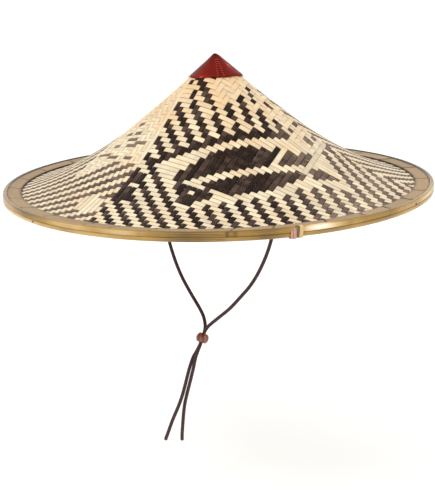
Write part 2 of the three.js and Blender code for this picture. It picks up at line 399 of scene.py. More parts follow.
def weld(mesh):
    """Merges points that lie on each other, so that a surface closes at its poles."""
    shape = bmesh.new()
    shape.from_mesh(mesh)
    bmesh.ops.remove_doubles(shape, verts=shape.verts, dist=WELD_REACH)
    bmesh.ops.dissolve_degenerate(shape, edges=shape.edges, dist=WELD_REACH)
    loose = [edge for edge in shape.edges if not edge.link_faces]
    bmesh.ops.delete(shape, geom=loose, context="EDGES")
    bmesh.ops.recalc_face_normals(shape, faces=shape.faces)
    shape.to_mesh(mesh)
    shape.free()


def place(piece, slot, *nodes):
    """Puts a finished piece on the hat's body and hides the nodes that it replaces. slot is not used."""
    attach(piece, BODY)
    if nodes:
        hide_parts(*nodes)
    return piece


def rounded(corners, radius, steps=4):
    """A closed outline with its corners rounded: each corner becomes a quadratic curve between
    two points that lie the radius away from it."""
    corners = np.asarray(corners, float)
    before = np.roll(corners, 1, axis=0) - corners
    after = np.roll(corners, -1, axis=0) - corners
    shorter = np.minimum(np.linalg.norm(before, axis=1), np.linalg.norm(after, axis=1))
    reach = np.minimum(radius, 0.45 * shorter)[:, None]
    t = np.linspace(0, 1, steps)[None, :, None]
    start = (corners + unit(before) * reach)[:, None]
    end = (corners + unit(after) * reach)[:, None]
    middle = corners[:, None]
    return ((1 - t) ** 2 * start + 2 * t * (1 - t) * middle + t ** 2 * end).reshape(-1, 2)


def closed_outline(under, over):
    """A closed outline for each row: out along the under side and back on the over side."""
    return np.concatenate([under, over[:, ::-1]], axis=1)


def hoop_sweep(section, start, end, step, worked=None):
    """A closed section of radius and height carried round the axis. The section goes anticlockwise
    with the radius to the right. worked maps radius, height and azimuth in degrees to the radius,
    height and tone of each point."""
    section = np.asarray(section, float)
    closed = end - start >= 360.0
    count = int(round((end - start) / step))
    azimuth = np.linspace(start, end, count + 1)[:, None]
    azimuth = azimuth[:-1] if closed else azimuth
    size = (len(azimuth), len(section))
    radius = np.broadcast_to(section[:, 0], size)
    height = np.broadcast_to(section[:, 1], size)
    tone = np.full(size, 0.5)
    if worked is not None:
        radius, height, tone = worked(radius, height, azimuth)
    rings = round_about(radius, height, np.radians(azimuth))[None]
    edges = np.linalg.norm(np.roll(section, -1, axis=0) - section, axis=1)
    across = np.concatenate([[0.0], np.cumsum(edges)]) * MM
    along = np.radians(start + np.arange(count + 1) * step) * section[:, 0].mean() * MM
    return swept(rings, across, along, closed, None, tone[None])


def capsules(centre, width, thickness, ring_sides=6):
    """Thin rounded strands, flat side up: an ellipse, its width and thickness in millimetres,
    carried along each row of centre points and shrinking to both ends."""
    along = unit(np.gradient(centre, axis=1))
    side = unit(np.cross(along, [0.0, 0.0, 1.0]))
    top = unit(np.cross(side, along))
    t = np.linspace(0, 1, centre.shape[1])
    size = (0.3 + 0.7 * np.sqrt(np.sin(np.pi * np.clip(t, 0.05, 0.95))))[None, :, None, None]
    turn = np.linspace(0, 2 * np.pi, ring_sides, endpoint=False)[None, None, :, None]
    rings = centre[:, :, None] + MM / 2 * size * (side[:, :, None] * np.cos(turn) * width
                                                  + top[:, :, None] * np.sin(turn) * thickness)
    reach = np.linalg.norm(centre[:, -1] - centre[:, 0], axis=-1)[:, None]
    return swept(rings, np.linspace(0, np.pi * width * MM, ring_sides + 1), t[None] * reach)


def turned_about(section, centre, axis, side, step):
    """A closed section, its distance from and along an axis in millimetres, turned round it."""
    turn = np.radians(np.arange(0, 360, step))[:, None]
    spoke = side * np.cos(turn) + np.cross(axis, side) * np.sin(turn)
    rings = centre + (spoke[:, None] * section[:, :1] + axis * section[:, 1:]) * MM
    return swept(rings[None], np.arange(len(section) + 1) * MM, np.arange(len(turn) + 1) * MM,
                 True)


# Materials


def add(tree, kind, settings=None, links=None):
    """Adds a node. settings maps the names of properties, and the names or numbers of sockets, to
    values, with a colour ramp's stops as position and colour. links maps socket names to the
    outputs that feed them."""
    node = tree.nodes.new(kind)
    for name, value in (settings or {}).items():
        if name == "stops":
            elements = node.color_ramp.elements
            while len(elements) < len(value):
                elements.new(0.5)
            for element, (position, stop) in zip(elements, value):
                element.position = position
                element.color = stop
        elif isinstance(name, int) or name in node.inputs:
            node.inputs[name].default_value = value
        else:
            setattr(node, name, value)
    for name, output in (links or {}).items():
        tree.links.new(output, node.inputs[name])
    return node


def new_material(name):
    """A material with only a Principled shader, its tree and the shader."""
    material = bpy.data.materials.new(name)
    material.use_nodes = True
    tree = material.node_tree
    return material, tree, tree.nodes["Principled BSDF"]


def dress(tree, shader, value, stops, settings, height=None, depth=0.0):
    """Gives the shader its colour, a value seen through a ramp's stops, its settings and a relief
    whose depth is in millimetres. Without stops, the value is the colour."""
    if stops:
        ramp = add(tree, "ShaderNodeValToRGB", {"stops": stops}, {"Fac": value})
        value = ramp.outputs["Color"]
    tree.links.new(value, shader.inputs["Base Color"])
    for name, value in settings.items():
        shader.inputs[name].default_value = value
    if height is not None:
        relief = add(tree, "ShaderNodeBump", {"Distance": depth * MM}, {"Height": height})
        tree.links.new(relief.outputs["Normal"], shader.inputs["Normal"])


def fibres_of(tree, across, along, detail=3.0):
    """Long streaks on the piece's own surface distances, a fibre being across millimetres wide
    and along millimetres long."""
    spread = add(tree, "ShaderNodeUVMap", {"uv_map": "surface"}).outputs["UV"]
    scale = (1 / (across * MM), 1 / (along * MM), 1.0)
    scaled = add(tree, "ShaderNodeMapping", {"Scale": scale}, {"Vector": spread})
    return add(tree, "ShaderNodeTexNoise", {"Scale": 1.0, "Detail": detail, "Roughness": 0.6},
               {"Vector": scaled.outputs["Vector"]}).outputs["Fac"]


def clouds_of(tree, size, detail=3.0):
    """Soft patches about size millimetres across, fixed in the piece."""
    place_on = add(tree, "ShaderNodeTexCoord").outputs["Object"]
    return add(tree, "ShaderNodeTexNoise", {"Scale": 1 / (size * MM), "Detail": detail},
               {"Vector": place_on}).outputs["Fac"]


def toned(tree, fibres, share):
    """Fibres added by a share to the tone that each point carries."""
    tone = add(tree, "ShaderNodeAttribute", {"attribute_name": "tone"}).outputs["Fac"]
    return add(tree, "ShaderNodeMath", {"operation": "MULTIPLY_ADD", 1: share},
               {0: fibres, 2: tone}).outputs["Value"]


def tints(main, *stops):
    """Stops for a colour ramp: positions, each with how far the main colour is lightened there."""
    return [(position, shade(main, factor)) for position, factor in stops]


def fibrous(name, streak, share, stops, settings, depth):
    """A material of long fibres, their streak in millimetres. They are added by a share to the
    tone of each point for the colour, or colour it alone, and they stand out by a depth."""
    material, tree, shader = new_material(name)
    fibres = fibres_of(tree, *streak)
    worn = toned(tree, fibres, share) if share else fibres
    dress(tree, shader, worn, stops, settings, fibres, depth)
    return material


def clouded(name, size, stops, settings):
    """A smooth material in soft patches about size millimetres across."""
    material, tree, shader = new_material(name)
    dress(tree, shader, clouds_of(tree, size), stops, settings)
    return material


def natural_splint(finish):
    """Natural bamboo, shaved flat from the inner wood: pale and silky, with fine straight fibres,
    drawn 0.5 mm wide so that they show, a tone of its own for each splint, and warm orange
    patches, most of all round the tip where hands hold the hat."""
    material, tree, shader = new_material("shaved_natural_bamboo")
    fibres = fibres_of(tree, 0.5, 45)
    stops = tints(finish.natural, (0.35, 0.66), (0.7, 1.0), (1.0, 1.28))
    plain = add(tree, "ShaderNodeValToRGB", {"stops": stops}, {"Fac": toned(tree, fibres, 0.6)})
    place_on = add(tree, "ShaderNodeTexCoord").outputs["Object"]
    flat = add(tree, "ShaderNodeVectorMath", {"operation": "MULTIPLY", 1: (1.0, 1.0, 0.0)},
               {0: place_on}).outputs["Vector"]
    reach = add(tree, "ShaderNodeVectorMath", {"operation": "LENGTH"}, {0: flat}).outputs["Value"]
    near_tip = add(tree, "ShaderNodeMapRange", {"From Min": 30 * MM, "From Max": 120 * MM,
                                                "To Min": 0.5, "To Max": 0.0}, {"Value": reach})
    patches = add(tree, "ShaderNodeMath", {"operation": "MULTIPLY_ADD", 1: 1.3},
                  {0: clouds_of(tree, 35), 2: near_tip.outputs["Result"]}).outputs["Value"]
    share = add(tree, "ShaderNodeMapRange", {"From Min": 0.62, "From Max": 1.25, "To Max": 0.7},
                {"Value": patches}).outputs["Result"]
    tint = add(tree, "ShaderNodeMix", {"data_type": "RGBA", 7: finish.warm},
               {0: share, 6: plain.outputs["Color"]})
    settings = {"Roughness": 0.5, "Specular IOR Level": 0.4}
    dress(tree, shader, tint.outputs[2], None, settings, fibres, 0.06)
    return material


def smoked_splint(finish):
    """Bamboo smoked over a fire: nearly black on the front and light brown at the sides, that brown
    partly painted sheen; streaked along the fibres, with a dull shine."""
    stops = tints(finish.smoked, (0.2, 0.5), (0.42, 1.0)) + [(0.95, finish.faded_and_sheen)]
    return fibrous("smoked_shaved_bamboo", (0.55, 40), 0.6, stops,
                   {"Roughness": 0.5, "Specular IOR Level": 0.08}, 0.05)


def red_leather(finish):
    """Vegetable-tanned cowhide, dyed red and waxed: fine pores, drawn 0.8 mm apart so that they
    show, soft clouds of colour, soiled dark at the very tip, and a painted pale pink highlight on one side."""
    material, tree, shader = new_material("waxed_red_cowhide")
    place_on = add(tree, "ShaderNodeTexCoord").outputs["Object"]
    pores = add(tree, "ShaderNodeTexVoronoi", {"Scale": 1 / (0.8 * MM)},
                {"Vector": place_on}).outputs["Distance"]
    stops = tints(finish.leather, (0.2, 0.12), (0.55, 0.62), (0.78, 1.0), (0.9, 1.7))
    # The palest stop is the colour of the painted highlight.
    stops.append((1.0, linear("#c98f88")))
    clouds = toned(tree, clouds_of(tree, 11, 4.0), 0.5)
    settings = {"Roughness": 0.36, "Specular IOR Level": 0.08, "Sheen Weight": 0.02,
                "Sheen Roughness": 0.3, "Sheen Tint": linear("#e7a79b")}
    dress(tree, shader, clouds, stops, settings, pores, 0.1)
    return material


def waxed_thread(finish):
    """Waxed linen thread, twisted, a little brighter than the leather."""
    return fibrous("waxed_linen_thread", (0.3, 0.9), None,
                   tints(finish.thread, (0.35, 0.6), (0.65, 1.3)), {"Roughness": 0.45}, 0.1)


def bamboo_skin(finish):
    """The outer skin of the culm, peeled and weathered grey: long fibres round the rim, painted
    shade in the slits between strips, and a matt wax."""
    stops = tints(finish.skin, (0.12, 0.1), (0.5, 0.72), (0.72, 1.0), (0.95, 1.25))
    return fibrous("weathered_bamboo_skin", (0.9, 60, 4.0), 0.5, stops,
                   {"Roughness": 0.6, "Specular IOR Level": 0.3}, 0.08)


def split_culm(name, main, roughness):
    """A split culm with its glossy skin outside: fibres round the hoop, uneven olive and amber
    patches, painted shade in its grooves and on its cut edge, painted highlights, a hard wax shine."""
    material, tree, shader = new_material(name)
    fibres = fibres_of(tree, 0.8, 90, 4.0)
    both = add(tree, "ShaderNodeMath", {"operation": "MULTIPLY_ADD", 1: 0.7},
               {0: fibres, 2: clouds_of(tree, 30)}).outputs["Value"]
    stops = tints(main, (0.1, 0.08), (0.42, 0.42), (0.66, 1.0))
    # The palest stop is the colour of the painted highlights.
    stops += [(0.82, linear("#d6b985")), (1.0, linear("#f3e8d2"))]
    settings = {"Roughness": roughness, "Specular IOR Level": 0.35}
    dress(tree, shader, toned(tree, both, 0.3), stops, settings, fibres, 0.06)
    return material


def split_cane(finish):
    """Split rattan cane, wound tight: pinkish straw with a satin skin."""
    return fibrous("split_rattan_cane", (0.5, 30), 0.5,
                   tints(finish.cane, (0.35, 0.55), (0.75, 1.0), (1.0, 1.3)),
                   {"Roughness": 0.4}, 0.05)


def braided_polyester(finish):
    """Round braided polyester cord: dark brown, each strand a bundle of fine glossy threads."""
    return fibrous("braided_polyester_cord", (0.35, 0.9), None,
                   tints(finish.cord, (0.3, 0.45), (0.55, 1.0), (0.8, 2.4)),
                   {"Roughness": 0.6, "Sheen Weight": 0.2, "Sheen Roughness": 0.4}, 0.1)


def polished_rosewood(finish):
    """Turned rosewood, oiled and polished: reddish brown with darker growth rings under a clear
    shine."""
    material, tree, shader = new_material("polished_rosewood")
    place_on = add(tree, "ShaderNodeTexCoord").outputs["Object"]
    rings = add(tree, "ShaderNodeTexWave", {"Scale": 1 / (18 * MM), "Distortion": 3.0,
                                            "Detail": 3.0}, {"Vector": place_on}).outputs["Fac"]
    stops = tints(finish.rosewood, (0.1, 0.5), (0.5, 1.0), (0.9, 1.6))
    dress(tree, shader, rings, stops,
          {"Roughness": 0.16, "Coat Weight": 0.5, "Coat Roughness": 0.06})
    return material


def blackened_iron():
    """The head of a small iron brad, blackened by fire and a little rusty."""
    return clouded("blackened_iron", 0.6, [(0.4, linear("#1d1512")), (0.7, linear("#3d281d"))],
                   {"Metallic": 0.6, "Roughness": 0.5})


def white_paper():
    """White seamless studio paper: matt, very slightly uneven, and lit a little from within so
    that it stays white in the shade."""
    stops = [(0.3, linear("#f6f6f5")), (0.7, linear("#fafaf9"))]
    return clouded("white_seamless_paper", 500, stops,
                   {"Roughness": 0.9, "Emission Color": linear("#ffffff"),
                    "Emission Strength": 0.14})


# The plait


def lie(column, row):
    """Where a crossing lies on the cone laid flat, as arc length from the tip and angle from the
    front. Between the two edges of the front, a point is so far along the rows' way and so far
    along the columns' way. Past either edge, one of those ways bends round to the seam behind."""
    u = COLUMN_PITCH * column
    v = np.where(row >= 0, row * (ROW_PITCH - ROW_CLOSING * row), row * COLUMN_PITCH)
    row_way = np.radians(ROW_ANGLE + ROW_TURN * np.maximum(v, 0) / 100)
    column_way = np.radians(COLUMN_ANGLE + COLUMN_TURN * np.maximum(u, 0) / 100)
    seam_left = math.radians(SEAM_ANGLE)
    seam_right = seam_left + math.radians(360 * UNROLLED_SHARE)
    row_way = np.where(u < 0, seam_left, row_way)
    column_way = np.where(v < 0, seam_right, column_way)
    x = np.abs(u) * np.sin(row_way) + np.abs(v) * np.sin(column_way)
    y = np.abs(u) * np.cos(row_way) + np.abs(v) * np.cos(column_way)
    middle = math.radians((ROW_ANGLE + COLUMN_ANGLE) / 2)
    angle = np.arctan2(x * math.cos(middle) - y * math.sin(middle),
                       x * math.sin(middle) + y * math.cos(middle)) + middle
    behind = np.cos(angle - middle) < 0
    on_left = (u < 0) & (u < v)
    on_right = (v < 0) & ~on_left
    angle = np.where(behind & on_left & (angle > middle), angle - 2 * math.pi, angle)
    angle = np.where(behind & on_right & (angle < middle), angle + 2 * math.pi, angle)
    return np.hypot(x, y), angle


def front_place(column, row):
    """The front's own splints. Above row 12 its rows draw together past column 16, in a smooth
    step, so that more of them fit on the right."""
    t = np.clip((column - 16) / 9, 0, 1)
    return column, row + ROWS_DRAWN * t * t * (3 - 2 * t) * np.maximum(12 - row, 0)


def left_place(column, row):
    """Splints left of the front: columns counted to the left from its edge, rows from the tip."""
    return LEFT_EDGE_COLUMN - LEFT_PITCH[0] * (column + 0.5), LEFT_PITCH[1] * row


def right_place(column, row):
    """Splints right of the front: columns counted from the tip, rows to the right of its edge."""
    return RIGHT_PITCH[0] * column, -0.5 - RIGHT_PITCH[1] * (row + 0.5)


def on_hat(column, row, lift):
    """The point on the hat over a crossing, raised by a lift from the plait's middle."""
    arc, angle = lie(column, row)
    radius, height = crown_point(arc, lift - WEAVE_DEPTH)
    azimuth = angle / UNROLLED_SHARE + math.radians(FRONT_AZIMUTH)
    return round_about(radius, height, azimuth)


def between(value, lowest, highest):
    """True where a value lies in a closed range."""
    return (value >= lowest) & (value <= highest)


def listed(column, row, cells):
    """True at the listed cells, each a column and a row."""
    return sum((column == cell[0]) & (row == cell[1]) for cell in cells) > 0


def under_tip(column, row):
    """True in the pale field under the tip, where both ways are natural splints."""
    field = (row <= 7) & between(column, 3, 7) | (row == 8) & between(column, 4, 6)
    field |= (row <= 5) & between(column, 6, 24)
    return field & ~listed(column, row, DARK_DASHES)


def natural_column(column, row):
    """True where a column of the front is a natural splint, not a smoked one."""
    whole = (column == 19) & (row <= 16) | (column == 24) & (row <= 13)
    return whole | under_tip(column, row)


def column_on_top(column, row):
    """True where the column's splint lies over the row's, on the front: a two-over-two twill that
    steps to the right, with two dark leaves between pale stepped bands, a stem under them, a pale
    field under the tip, and lines that run the other way right of it."""
    diagonal = column + row
    dark = np.isin((column - row) % 4, (2, 3))
    dark |= between(diagonal, 24, 25) & between(row, 7, 24)

    edge = np.where(row <= 19, 28 - row + np.maximum(0, 14 - row), 8 - (row - 21) // 2)
    edge = np.where(row >= 27, np.where(row == 27, 6, 7), edge)
    wide = (diagonal >= 26) & (column < edge) & (row - column <= 24) & between(row, 6, 28)
    leaf = (column >= edge) & (diagonal <= 34) & between(row, 12, 28) & (column <= 18)
    lobe_start = np.select([column <= 21, column == 22], [10, 8], 7)
    lobe = between(column, 20, 23) & (diagonal <= 34) & (row >= lobe_start)
    top = (column >= 18) & between(diagonal, 26, 34) & (row <= 15)
    dark = dark & ~wide & ~top | leaf | lobe

    dark &= ~(between(diagonal, 35, 36) & (row <= 27))
    reach = 39 + np.minimum(3, (row - 15) // 2)
    dark |= between(diagonal, 37, reach) & between(row, 14, 26)
    dark &= ~(between(diagonal, reach + 1, reach + 2 + (row <= 17)) & between(row, 13, 33))

    dark &= ~((row == 27) & between(column, 8, 17))
    dark |= between(row, 28, 29) & between(column, 7, 13)
    dark |= between(row, 30, 32) & between(column, 9, 11)
    dark |= (column == 12) & between(row, 27, 30)
    dark |= between(column, -2, 0) & between(row, 28, 35) & (row != 31)

    right = np.isin((column - row) % 4, (2, 3)) & (column - row >= 22)
    wedge = between(row, 10, np.select([column <= 25, column == 26, column == 27, column == 28],
                                       [12, 13, 12, 11], 10)) & between(column, 25, 29)
    wedge &= ~((column == 25) & (row == 10))
    dark = np.where((column >= 25) & (row <= 12), right, dark) | wedge

    dark &= ~listed(column, row, PALE_STEPS)
    dark |= listed(column, row, DARK_DASHES)
    dark = np.where(under_tip(column, row), np.isin((column - row) % 4, (2, 3)), dark)
    dark |= (column == 19) & between(row, 10, 14) | (column == 24) & between(row, 3, 13)
    return dark


def left_column_on_top(column, row):
    """True where the column's splint lies over the row's, left of the front: the twill steps the
    other way, so that dark and pale run in zigzags. The first column hides the splints' joints
    beside the pale rows, and the columns' ends lie over the seam behind."""
    over = np.isin((row - column) % 4, (0, 1))
    over |= between(row, 45, 50) & between(column, 1, 5)
    over |= (column == 0) & (row < LEFT_DARK_ROW - 1)
    return over & ~left_dash(column, row) | (row <= 0)


def left_dash(column, row):
    """True at the dark stubs in the pale rows of the left side."""
    return sum((row == dash[0]) & between(column, *dash[1:]) for dash in LEFT_DASHES) > 0


def left_dark(column, row):
    """True where a row of the left side is a smoked splint: below a line that runs level at first
    and then down to the left, and behind."""
    line = LEFT_DARK_ROW + 1.2 * np.maximum(0, column - 8)
    return (row >= line) | (column > LEFT_PALE_COLUMNS) | left_dash(column, row)


def right_column_on_top(column, row):
    """True where the column's splint lies over the row's, right of the front: not under the tip.
    The first column is a natural splint, which covers the seam."""
    return np.isin((column - row) % 4, (0, 1)) & (column + row > 12) | (column == 0)


# A splint has rings at these stops of each cell. Its section is flat and a little arched, as
# shares of its width and thickness, and its lower edges are darker: painted shade between
# neighbouring splints.
SAMPLE_STOPS = np.array([-0.5, -0.34, 0.0, 0.34])
SPLINT_SECTION = np.array([
    (-0.5, 0.0), (-0.42, -0.5), (0.42, -0.5), (0.5, 0.0), (0.42, 0.5), (0.0, 0.62), (-0.42, 0.5),
])
EDGE_SHADE_TONES = np.array([-0.3, -0.15, -0.15, -0.3, 0.0, 0.0, 0.0])


def lifts(on_top):
    """The lift of a splint along its cells: up where it is over, down where it is under, halfway
    between unlike cells, sampled at each cell's start, near its two ends and at its middle."""
    state = np.where(on_top, 1.0, -1.0)
    first = np.concatenate([state[:, :1], 0.5 * (state[:, :-1] + state[:, 1:])], axis=1)
    last = np.concatenate([first[:, 1:], state[:, -1:]], axis=1)
    samples = np.stack([first, 0.8 * state + 0.2 * first, state, 0.8 * state + 0.2 * last], -1)
    flat = samples.reshape(len(on_top), -1)
    return SPLINT_LIFT * np.concatenate([flat, state[:, -1:]], axis=1)


def splints(name, material, side, lengthwise, sides, cells, present, tones, shape, seed):
    """Flat splints next to each other, each a thin rounded section carried along its row or
    column and lifted over and under the splints that it crosses. side holds the lattice, which
    maps a column and a row to the front's own count, and the rule for where the column's splint
    is over. lengthwise is the count that changes along a splint, column or row. cells is its
    range, and sides the range of the other count. present says where the splint exists, and
    tones how light it is."""
    lattice, column_over = side
    along_columns = lengthwise == "column"
    side_index = np.arange(sides[0], sides[1] + 1)
    cell_index = np.arange(cells[0], cells[1] + 1)
    stops = np.append((cell_index[:, None] + SAMPLE_STOPS).reshape(-1), cells[1] + 0.5)
    side, stop = np.meshgrid(side_index.astype(float), stops, indexing="ij")
    crossing = np.meshgrid(side_index, cell_index, indexing="ij")
    crossing = crossing[::-1] if along_columns else crossing

    def at(side, stop, lift):
        return on_hat(*lattice(*((stop, side) if along_columns else (side, stop))), lift)

    over = column_over(*crossing)
    lift = lifts(~over if along_columns else over)
    centre = at(side, stop, lift)
    spread = at(side + 0.5, stop, lift) - at(side - 0.5, stop, lift)
    along = unit(at(side, stop + 0.05, 0.0) - at(side, stop - 0.05, 0.0))
    normal = unit(at(side, stop, 1.0) - at(side, stop, 0.0))
    slope = np.gradient(lift, axis=1) / np.gradient(stop, axis=1) / COLUMN_PITCH
    sideways = unit(np.cross(along, normal))
    tilted = unit(normal - along * slope[..., None])

    random = np.random.default_rng(seed)
    width = np.abs(np.sum(spread * sideways, -1)) * shape.splint_fill
    width = width * random.uniform(0.97, 1.0, (len(side_index), 1))
    across_width = width[..., None, None] * SPLINT_SECTION[:, :1]
    rings = (centre[:, :, None] + sideways[:, :, None] * across_width
             + tilted[:, :, None] * SPLINT_SECTION[:, 1:] * shape.splint_thickness)
    radius = np.linalg.norm(centre[..., :2], axis=-1) / MM
    reached = between(radius, SPLINT_TIP_RADIUS, SPLINT_END_RADIUS)
    exists = np.broadcast_to(True if present is None else present(*crossing), over.shape)
    keep = np.repeat(exists, len(SAMPLE_STOPS), axis=1) & reached[:, :-1] & reached[:, 1:]

    tone = tones(*crossing) if callable(tones) else tones
    tone = tone + random.uniform(-0.12, 0.12, (len(side_index), 1))
    tone = tone + random.uniform(-0.08, 0.08, over.shape)
    tone = np.concatenate([np.repeat(tone, len(SAMPLE_STOPS), axis=1), tone[:, -1:]], axis=1)
    # Painted shade: darker at the lower edges, and darker where the splint dives under the one it crosses.
    tone = tone[..., None] + EDGE_SHADE_TONES + 0.06 * lift[..., None] / SPLINT_LIFT
    corner_widths = np.append(SPLINT_SECTION[:, 0], SPLINT_SECTION[0, 0]) * COLUMN_PITCH * MM
    across = corner_widths + side_index[:, None, None] * 0.1
    distance = stop * COLUMN_PITCH * MM + random.uniform(0.0, 5.0, (len(side_index), 1))
    patch = swept(rings, across, distance, False, keep, tone)
    place(build(name, [patch], material), "bamboo_splints", "woven_shell")


# Pieces


def make_splints(shape, finish):
    """The whole plait, in groups by colour and side."""
    pale, dark = natural_splint(finish), smoked_splint(finish)
    front = (front_place, column_on_top)
    left = (left_place, left_column_on_top)
    right = (right_place, right_column_on_top)
    front_rows, front_columns = (-3, FARTHEST_SPLINT), (-2, FARTHEST_SPLINT)
    far = round(FARTHEST_SPLINT / min(LEFT_PITCH + RIGHT_PITCH))

    def on_front(column, row):
        return front_place(column, row)[1] >= -0.8

    def front_smoked(column, row):
        return on_front(column, row) & ~natural_column(column, row)

    def front_natural(column, row):
        return on_front(column, row) & natural_column(column, row)

    def left_natural(column, row):
        return ~left_dark(column, row)

    # Smoked splints of the front grow lighter towards the right: painted sheen.
    def front_sheen_tone(column, row):
        return 0.05 + 0.38 * np.clip((column - 0.6 * row - 9) / 10, 0, 1)

    def column_tone(column, row):
        return np.where(column == 24, PALE_TONE - 0.08, PALE_TONE)

    def left_tone(column, row):
        return 0.44 + 0.12 * (row < LEFT_DARK_ROW) * (column <= LEFT_PALE_COLUMNS)

    groups = [
        ("pale_front_splints", pale, front, "column", front_rows, front_columns, on_front,
         PALE_TONE),
        ("dark_front_splints", dark, front, "row", front_columns, front_rows, front_smoked,
         front_sheen_tone),
        ("natural_columns", pale, front, "row", front_columns, front_rows, front_natural,
         column_tone),
        ("dark_left_splints", dark, left, "column", (1, far), (0, far), left_dark, left_tone),
        ("pale_left_rows", pale, left, "column", (1, far), (0, far), left_natural, PALE_TONE),
        ("pale_left_splints", pale, left, "row", (0, far), (0, far), None, PALE_TONE),
        ("pale_right_splints", pale, right, "column", (0, far), (0, far), None, PALE_TONE),
        ("dark_right_splints", dark, right, "row", (1, far), (0, far), None, RIGHT_SHEEN_TONE),
        ("seam_splint", pale, right, "row", (0, 0), (0, far), None, PALE_TONE),
    ]
    for seed, group in enumerate(groups):
        splints(*group, shape, 11 + seed)
    place(loose_fibres(pale), "bamboo_splints")


def loose_fibres(material):
    """A few fibres frayed off the splints at the front right: each a thin strand that lies across
    two or three cells and springs up a little in its middle."""
    random = np.random.default_rng(5)
    count = (26, 1)
    column = random.uniform(23.0, 36.0, count)
    row = random.uniform(2.0, 19.0, count)
    turn = random.uniform(0.6, 2.0, count) + np.pi / 2
    t = np.linspace(-1.0, 1.0, 7)[None]
    reach = random.uniform(0.35, 0.8, count)
    bend = random.uniform(-0.3, 0.3, count) * t ** 2
    centre = on_hat(column + (np.cos(turn) * t - np.sin(turn) * bend) * reach,
                    row + (np.sin(turn) * t + np.cos(turn) * bend) * reach,
                    1.0 + 0.15 * (1 - t ** 2))
    return build("frayed_fibres", [capsules(centre, 0.55, 0.35, 5)], material)


def make_cap(shape, finish):
    """The leather cone over the tip: its closed section goes from the axis out under the leather
    and back on top. The leather is drawn to a point, thicker and shorter at the right, and low
    creases run down it."""
    azimuth = np.arange(0.0, 360.0, CAP_STEP)[:, None]
    radians = np.radians(azimuth)
    edge = shape.cap_radius / MM + 0.5 * np.cos(radians) + 1.3 * np.cos(2 * radians)
    edge = edge + 0.25 * np.sin(5 * radians + 1.0) - 1.8 * bump(azimuth, 326.0, 28.0)
    share = np.linspace(0, 1, 26)[None]
    arc = share * np.interp(edge, CROWN_LINE[:, 0], CROWN_ARC)
    creases = 0.22 * np.sin(3 * radians + 0.6) + 0.16 * np.sin(7 * radians + arc * 0.12)
    wall = CAP_WALL * np.sqrt(np.clip((1.0 - share) / 0.04, 0.25, 1.0))
    wall = wall * (1 + 0.4 * np.cos(radians) * np.minimum(1.0, share / 0.12))
    under_radius, under_height = crown_point(arc, GAP)
    over_radius, over_height = crown_point(arc, GAP + wall + creases * share ** 2 * (1 - share) * 2)
    under_radius[:, 0] = 0.0
    over_radius[:, 0] = 0.0
    over_height = over_height + 1.9 * bump(share, 0.0, 0.16)
    radius = closed_outline(under_radius, over_radius)
    height = closed_outline(under_height, over_height)

    tone = 0.42 - 0.75 * bump(share, 0.0, 0.09) + 0.1 * bump(share, 1.0, 0.05)
    tone = tone + 0.13 * bump(share, 0.97, 0.12) * bump(azimuth, 218.0, 40.0)
    # Painted highlight on the front right slope.
    tone = tone + 0.3 * bump(share, 0.6, 0.3) * bump(azimuth, 332.0, 13.0)
    tone = tone - 0.12 * bump(azimuth, 360 + FRONT_AZIMUTH + 13, 9.0) * share
    # Painted shade along the cap's left and right sides, where they are seen edge-on.
    edge_on_shade = 0.4 * (bump(azimuth, 184.0, 16.0) + bump(azimuth, 358.0, 9.0)) * (azimuth > 180)
    tone = tone - edge_on_shade
    across = np.linspace(0, 70 * MM, radius.shape[1] + 1)
    along = np.radians(np.arange(0.0, 360.0 + CAP_STEP, CAP_STEP)) * 20 * MM
    patch = swept(round_about(radius, height, radians)[None], across, along, True, None,
                  closed_outline(tone, tone)[None])
    place(build("leather_cap", [patch], red_leather(finish), True), "red_leather", "tip_cap")
    place(build("cap_stitches", cap_stitches(shape), waxed_thread(finish)), "red_leather")
    place(build("cap_knots", cap_knots(), smoked_splint(finish)), "red_leather")


def cap_stitches(shape):
    """Short slanted stitches in two rows down the seam, each a strand bent over the leather with
    its height a half sine between its ends."""
    patches = []
    t = np.linspace(0, 1, 7)[None]
    stations = np.arange(9.0, 35.0, 3.5)[:, None]
    for offset, slant in STITCH_ROWS:
        sideways = (t - 0.5) * shape.stitch_length / MM
        radius, height = crown_point(stations + slant * sideways * 0.55,
                                     GAP + CAP_WALL + 0.1 + 0.45 * np.sin(np.pi * t))
        azimuth = np.radians(FRONT_AZIMUTH + offset) + sideways * 0.8 / np.maximum(radius, 3.0)
        patches.append(capsules(round_about(radius, height, azimuth), 0.95, 0.8, 8))
    return patches


def cap_knots():
    """The two knotted ends of the lacing at the cap's sides: three crossed short strands each."""
    patches = []
    t = np.linspace(-1, 1, 7)[None]
    turn = np.radians([[10.0], [70.0], [130.0]])
    for azimuth, edge in ((180.0, 30.2), (0.0, 31.2)):
        arc = np.interp(edge, CROWN_LINE[:, 0], CROWN_ARC) + np.cos(turn) * t
        radius, height = crown_point(arc, 0.6 + 0.5 * (1 - t ** 2))
        centre = round_about(radius, height, math.radians(azimuth) + np.sin(turn) * t / edge)
        patches.append(capsules(centre, 0.8, 0.7))
    return patches


